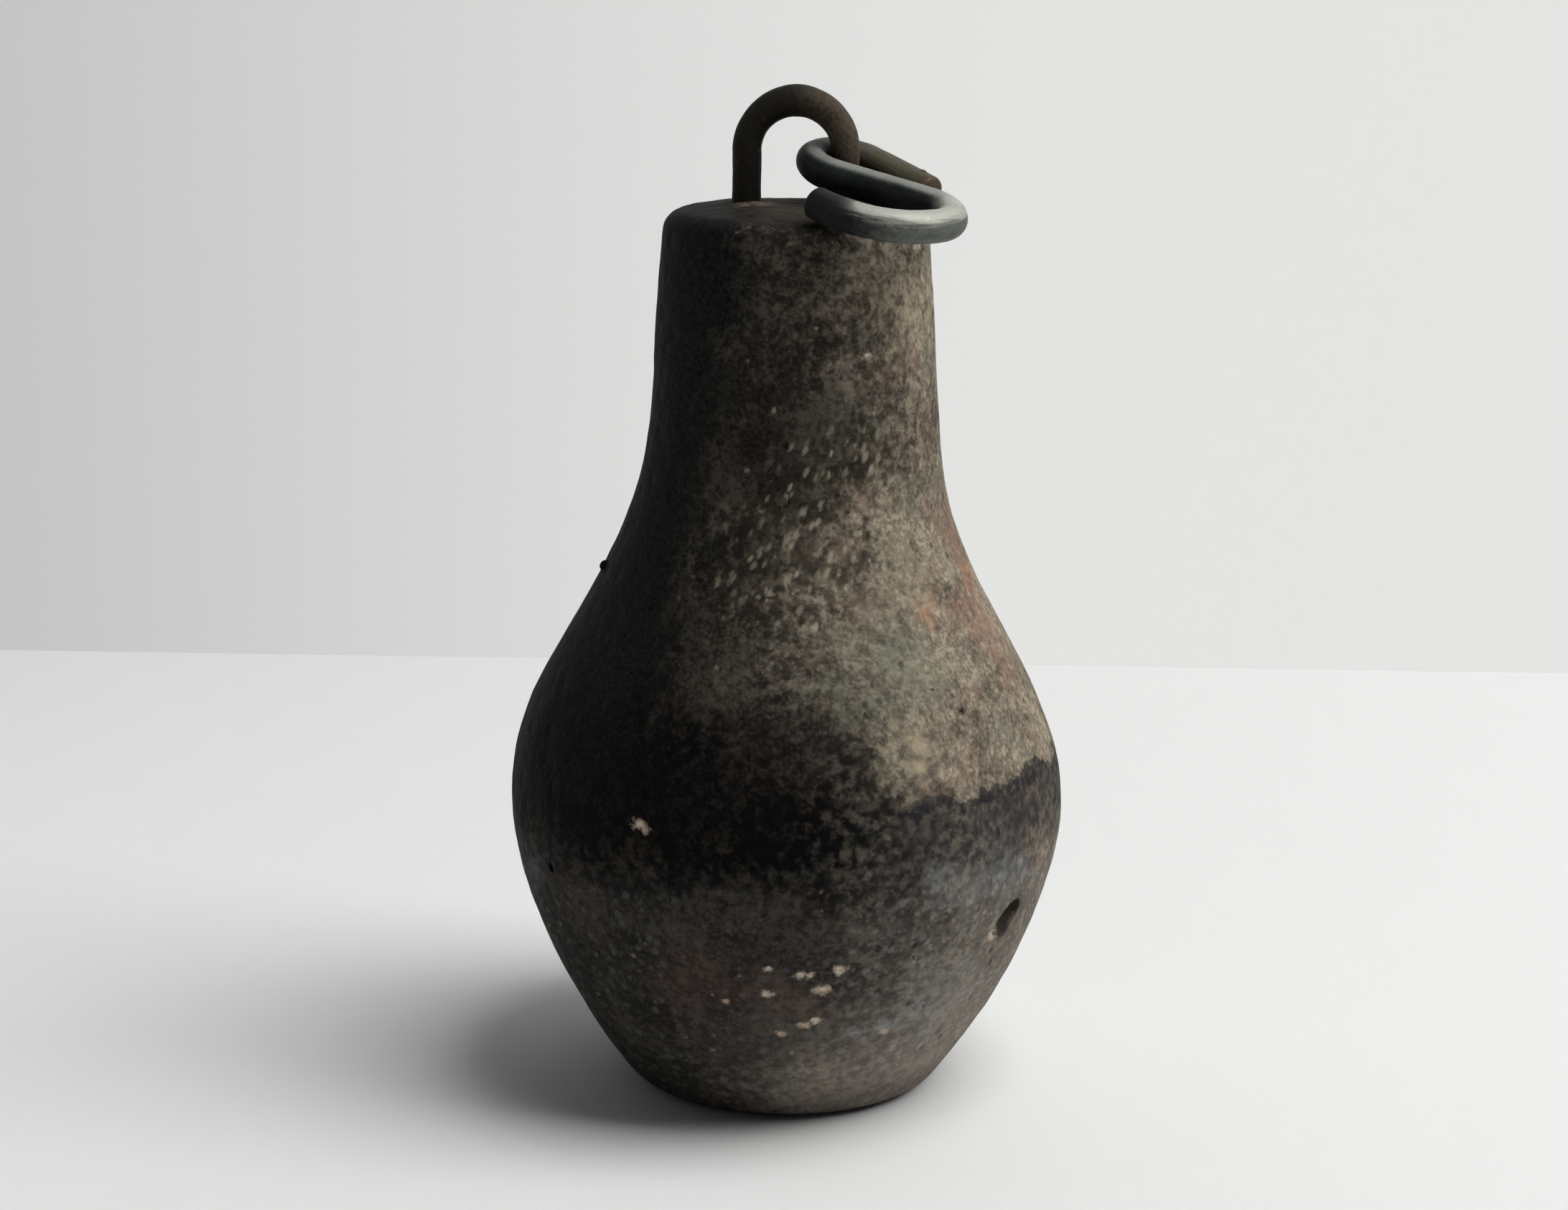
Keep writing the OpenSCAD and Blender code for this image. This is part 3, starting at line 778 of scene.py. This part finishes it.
    # Small marks
    specks = pattern(tree, dabs, aside, look["specks"])
    lay(sums(tree, "SUBTRACT", specks, most(tree, sootAndShade, band)), "speck")
    blacks = pattern(tree, dabs, aside, look["blacks"])
    lay(blacks, "black")
    lay(spots(tree, place, look["pitsAt"], 0.4), "pit")
    crumble = addNode(tree, "ShaderNodeTexNoise", {"Vector": place, **look["crumble"]}).outputs[0]
    crumble = plus(tree, look["crumbleBy"] * -0.5, (crumble, look["crumbleBy"]))
    squash = look["chipSquash"]
    flat = vectors(tree, "MULTIPLY", place, (1, 1, squash))[0]
    flatPlaces = [((a, b, c * squash), size) for (a, b, c), size in look["chipsAt"]]
    chips = spots(tree, flat, flatPlaces, 0.85, crumble)
    lay(times(tree, chips, plus(tree, 0.6, (grains, 0.35))), "chip",
        tint(tree, tones["chip"], soft, shares["rosyChip"], tones["rosyChip"]))

    # The top, painted light from the floor on the lower right, the foot, a painted contact shadow at the very
    # bottom and the iron drawn up round the eye
    rim = bobCasting["rimHeight"]
    crown = spread(tree, plus(tree, z, (soft, 1.2)), rim, rim + 1)
    lay(times(tree, crown, spread(tree, plus(tree, x, (soft, 3.0)), *look["crownSide"])), "rim")
    # painted light: the lower right is lightened where light from the floor falls
    lower = spread(tree, plus(tree, z, (wander, 12.0)), *look["lowerHeights"])
    lower = times(tree, lower, plus(tree, 0.75, (soft, 0.5)))
    lay(times(tree, lower, spread(tree, plus(tree, x, (wander, 10.0)), *look["lowerSide"])), "lower")
    lay(spread(tree, z, *look["footHeights"]), "foot")
    # painted contact shadow: black at the very bottom, where it meets the floor
    lay(spread(tree, z, *look["paintedContactShadowHeights"]), "contact", tones["black"])
    lay(spots(tree, place, look["moundAt"], 1.0, crumble), "mound")

    tree.links.new(colour, body.inputs["Base Color"])
    tree.links.new(plus(tree, 0.62, (sootAndShade, -0.06), (lift, 0.18)), body.inputs["Roughness"])
    addBumps(tree, body, [
        (look["bump"], look["coarseDepth"], pattern(tree, grain, place, look["coarse"])),
        (look["bump"], look["sandDepth"], pattern(tree, grain, place, look["sand"])),
        (look["bump"], look["flakeDepth"], plus(tree, chips, (flakes, 0.9), (blacks, -1.0)))])
    return material


rustyWireLook = {
    "black": (13, 12, 11), "brown": (54, 49, 41), "tan": (128, 113, 92), "orange": (86, 62, 46),
    "paintedShadeFadesFrom": -2.5, "paintedShadeFadesTo": 8.0,  # in X, in millimetres: the right leg is painted lighter, as lit, and the left leg darker, as in shade
    "wide": {"Size": 4.0, "Low": 0.34, "High": 0.66}, "fine": {"Size": 0.5, "Low": 0.3, "High": 0.7},
    "scabs": {"Size": 0.6, "Share": 0.3, "Ragged": 0.8}, "skin": {"Size": 0.5, "Pits": 0.6},
    "brownShare": 0.95, "tanShare": 0.3, "scabShare": 0.3,
    "skinBump": (0.6, 0.12), "scabBump": (0.5, 0.1),  # strength, and depth in millimetres
}


def makeRustyWire(look):
    material, tree, body = newMaterial("rustyWire", 0.05, 0.08)
    tones = tonesOf(look)
    place = addNode(tree, "ShaderNodeAttribute", attribute_name="wirePlace").outputs["Vector"]
    side = axes(tree, placeInMillimetres(tree))[0]
    wide = pattern(tree, patches, place, look["wide"])
    fine = pattern(tree, patches, place, look["fine"])
    # painted light and shade: brown and tan show towards the right, where the lamp is; the tan is a painted
    # highlight
    right = spread(tree, side, look["paintedShadeFadesFrom"], look["paintedShadeFadesTo"])
    mottled = plus(tree, 0.4, (fine, 0.6))
    brown = times(tree, mottled, plus(tree, 0.25, (right, 0.75)))
    colour = tint(tree, tones["black"], brown, look["brownShare"], tones["brown"])
    paintedLight = times(tree, plus(tree, 0.8, (wide, 0.5)), right)
    colour = tint(tree, colour, times(tree, paintedLight, mottled), look["tanShare"], tones["tan"])
    scabs = pattern(tree, dabs, place, look["scabs"])
    colour = tint(tree, colour, scabs, look["scabShare"], tones["orange"])
    tree.links.new(colour, body.inputs["Base Color"])
    tree.links.new(plus(tree, 0.48, (fine, 0.2)), body.inputs["Roughness"])
    skin = pattern(tree, grain, place, look["skin"])
    addBumps(tree, body, [(*look["skinBump"], skin), (*look["scabBump"], scabs)])
    return material


zincWireLook = {
    "zinc": (80, 85, 84), "dark": (38, 42, 43), "bloomAndHighlight": (188, 190, 178), "grey": (116, 118, 110),
    "film": (86, 80, 61), "rust": (74, 60, 46), "ends": (14, 16, 17), "metallic": 0.25,
    "shares": {"grey": 0.35, "front": 0.6, "bloomAndHighlight": 0.62, "paintedRidgeHighlight": 0.35, "under": 0.85, "film": 0.8,
               "rust": 0.7, "farEnd": 0.94},
    "frontAt": (40.0, 46.0), "filmAt": (20.0, 11.0), "rustAt": (2.6, 0.4),  # along the wire, in millimetres
    "underFrom": (12.0, 19.0), "underTo": (44.0, 38.0), "paintedRidgeHighlightAt": (14.0, 26.0),
    "nearEndAt": (62.2, 57.7), "farEndAt": (50.2, 57.7),
    "upperAt": (0.9, 2.0), "paintedRidgeHighlightHeights": (1.5, 1.95), "underHeights": (1.9, 1.35),  # above its middle
    "wide": {"Size": 3.2, "Low": 0.32, "High": 0.68}, "fine": {"Size": 0.7, "Low": 0.3, "High": 0.7},
    "streaks": {"Size": 0.5, "Low": 0.36, "High": 0.64}, "skin": {"Size": 0.6, "Pits": 0.4},
    "skinBump": (0.4, 0.1), "streakBump": (0.25, 0.06),  # strength, and depth in millimetres
}


def makeZincWire(look):
    material, tree, body = newMaterial("weatheredZinc", 0.0, 0.06)
    tones, shares = tonesOf(look), look["shares"]
    place = addNode(tree, "ShaderNodeAttribute", attribute_name="wirePlace").outputs["Vector"]
    reach, _, above = axes(tree, place)
    drawn = addNode(tree, "ShaderNodeMapping", {0: place, "Scale": (0.12, 1, 1)}).outputs[0]
    wide = pattern(tree, patches, place, look["wide"])
    fine = pattern(tree, patches, place, look["fine"])
    streaks = pattern(tree, patches, drawn, look["streaks"])
    colour = tint(tree, tones["dark"], wide, 1.0, tones["zinc"])
    colour = tint(tree, colour, times(tree, streaks, fine), shares["grey"], tones["grey"])

    # Its free loop is paler, with a white bloom on the top side, partly white rust and partly a painted
    # highlight
    front = spread(tree, plus(tree, reach, (wide, 3.0)), *look["frontAt"])
    paler = times(tree, front, plus(tree, 0.6, (fine, 0.4)))
    colour = tint(tree, colour, paler, shares["front"], tones["grey"])
    upper = spread(tree, plus(tree, above, (streaks, 0.6)), *look["upperAt"])
    nearEnd = spread(tree, plus(tree, reach, (wide, 2.0)), *look["nearEndAt"])
    bloomAndHighlight = times(tree, times(tree, upper, front), nearEnd)
    colour = tint(tree, colour, bloomAndHighlight, shares["bloomAndHighlight"], tones["bloomAndHighlight"])
    # a painted highlight along the wire's top edge, from the bend round the eye on
    paintedRidgeHighlight = times(tree, spread(tree, above, *look["paintedRidgeHighlightHeights"]), spread(tree, reach, *look["paintedRidgeHighlightAt"]))
    colour = tint(tree, colour, paintedRidgeHighlight, shares["paintedRidgeHighlight"], tones["bloomAndHighlight"])

    # Painted shade under the middle, filmed and rusty at the back end, painted shade again at the front one
    under = times(tree, spread(tree, reach, *look["underFrom"]), spread(tree, reach, *look["underTo"]))
    under = times(tree, under, spread(tree, above, *look["underHeights"]))
    colour = tint(tree, colour, under, shares["under"], tones["ends"])
    filmed = spread(tree, plus(tree, reach, (wide, 4.0)), *look["filmAt"])
    colour = tint(tree, colour, filmed, shares["film"], tones["film"])
    rusted = spread(tree, plus(tree, reach, (fine, 1.4)), *look["rustAt"])
    colour = tint(tree, colour, rusted, shares["rust"], tones["rust"])
    # painted shade on the front end, which faces away from the lamp
    farEnd = spread(tree, plus(tree, reach, (fine, -1.2)), *look["farEndAt"])
    farEnd = times(tree, farEnd, plus(tree, 1.0, (times(tree, upper, nearEnd), -0.8)))
    colour = tint(tree, colour, farEnd, shares["farEnd"], tones["ends"])
    tree.links.new(colour, body.inputs["Base Color"])
    bare = sums(tree, "SUBTRACT", 1.0, most(tree, farEnd, under))
    tree.links.new(times(tree, bare, look["metallic"]), body.inputs["Metallic"])
    tree.links.new(plus(tree, 0.4, (fine, 0.18)), body.inputs["Roughness"])
    skin = pattern(tree, grain, place, look["skin"])
    addBumps(tree, body, [(*look["skinBump"], skin), (*look["streakBump"], streaks)])
    return material


castIron = makeCastIron(castIronLook)
rustyWire = makeRustyWire(rustyWireLook)
zincWire = makeZincWire(zincWireLook)
print("materials built")


# Each piece gets its finish, stands for its node and moves with its body
def dress(obj, material, node, body, angle):
    obj.data.materials.clear()
    obj.data.materials.append(material)
    makeActive(obj)
    bpy.ops.object.shade_smooth_by_angle(angle=math.radians(angle))
    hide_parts(node)
    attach(obj, body)


dress(castingBody, castIron, "casting", "bob", 42)
dress(eyeWire, rustyWire, "eye_staple", "bob", 50)
dress(hookWire, zincWire, "s_hook", "hook", 35)
print("pieces dressed")


# Floor, wall and lamp
studio = {
    "floor": (232, 232, 231), "wall": (238, 239, 237), "wallPaintedShade": (200, 201, 200),
    "wallAt": 0.216, "reach": 3.0,  # metres
    "paintedShadeFadesFrom": (-230.0, 60.0), "paintedShadeFadesBeyond": (-350.0, -800.0),  # the painted shade on the left lies between, in millimetres
    "wallGlow": 0.75, "floorGlow": 0.0,  # share seen in the sheet's own colour, without shade
    "glowFrom": 330.0, "glowTo": 900.0,  # away from the bob, in millimetres, there is no shade
    "keyPower": 53.0, "keyWidth": 1.4, "keyHeight": 1.8, "keyAt": (0.99, -0.13, 1.70), "aimHeight": 0.06,
    "air": (222, 230, 238), "airStrength": 0.05,
}


def seenStraight(tree):  # by the camera, in metal and through glass, but not by the light that falls on things
    rays = addNode(tree, "ShaderNodeLightPath").outputs
    both = sums(tree, "ADD", rays["Is Camera Ray"], rays["Is Glossy Ray"])
    return sums(tree, "ADD", both, rays["Is Transmission Ray"], clamp=True)


def eitherShader(tree, mask, first, second):
    return addNode(tree, "ShaderNodeMixShader", {0: mask, 1: first.outputs[0], 2: second.outputs[0]})


def plainStage(name, tone, paintedShadeTone, glow):
    material, tree, body = newMaterial(name, 0.0, 0.1)
    place = placeInMillimetres(tree)
    x = axes(tree, place)[0]
    away = vectors(tree, "DISTANCE", place, (0, 0, 0))["Value"]
    # painted shade: the wall is darker on the left, away from the lamp
    clearOfPaintedShade = most(tree, spread(tree, x, *studio["paintedShadeFadesFrom"]), spread(tree, x, *studio["paintedShadeFadesBeyond"]))
    paint = tint(tree, shade(*paintedShadeTone), clearOfPaintedShade, 1.0, shade(*tone))
    tree.links.new(paint, body.inputs["Base Color"])
    body.inputs["Roughness"].default_value = 0.9
    light = addNode(tree, "ShaderNodeEmission", {"Color": paint, "Strength": 1.0})
    glowing = most(tree, spread(tree, away, studio["glowFrom"], studio["glowTo"]), glow)
    sheet = eitherShader(tree, times(tree, seenStraight(tree), glowing), body, light)
    clear = addNode(tree, "ShaderNodeBsdfTransparent")  # seen from behind it isn't there
    side = addNode(tree, "ShaderNodeNewGeometry").outputs["Backfacing"]
    either = eitherShader(tree, side, sheet, clear)
    tree.links.new(either.outputs[0], tree.nodes["Material Output"].inputs["Surface"])
    return material


def makeStudio(s):
    upright = (math.pi / 2, 0, 0)
    for name, tone, paintedShadeTone, glow, place, turn in (
            ("benchTop", s["floor"], s["floor"], s["floorGlow"], (0, 0, 0), (0, 0, 0)),
            ("backWall", s["wall"], s["wallPaintedShade"], s["wallGlow"], (0, s["wallAt"], 0), upright)):
        selectNothing()
        bpy.ops.mesh.primitive_plane_add(size=2 * s["reach"], location=place, rotation=turn)
        sheet = bpy.context.object
        sheet.name = name
        placeInMesh(sheet)
        sheet.data.materials.append(plainStage(name, tone, paintedShadeTone, glow))
    lamp = bpy.data.lights.new("keyLamp", "AREA")
    lamp.shape = "RECTANGLE"
    lamp.energy, lamp.size, lamp.size_y = s["keyPower"], s["keyWidth"], s["keyHeight"]
    holder = bpy.data.objects.new("keyLamp", lamp)
    holder.location = s["keyAt"]
    toBelly = Vector((0, 0, s["aimHeight"])) - holder.location
    holder.rotation_euler = toBelly.to_track_quat("-Z", "Y").to_euler()
    scene.collection.objects.link(holder)
    world = bpy.data.worlds.new("air")
    world.use_nodes = True
    tree = world.node_tree
    air = tree.nodes["Background"]
    air.inputs["Color"].default_value = shade(*s["air"])
    air.inputs["Strength"].default_value = s["airStrength"]
    seen = addNode(tree, "ShaderNodeBackground", {"Color": shade(*s["wall"]), "Strength": 1.0})
    either = eitherShader(tree, seenStraight(tree), air, seen)
    tree.links.new(either.outputs[0], tree.nodes["World Output"].inputs["Surface"])
    scene.world = world


makeStudio(studio)
print("studio lit")
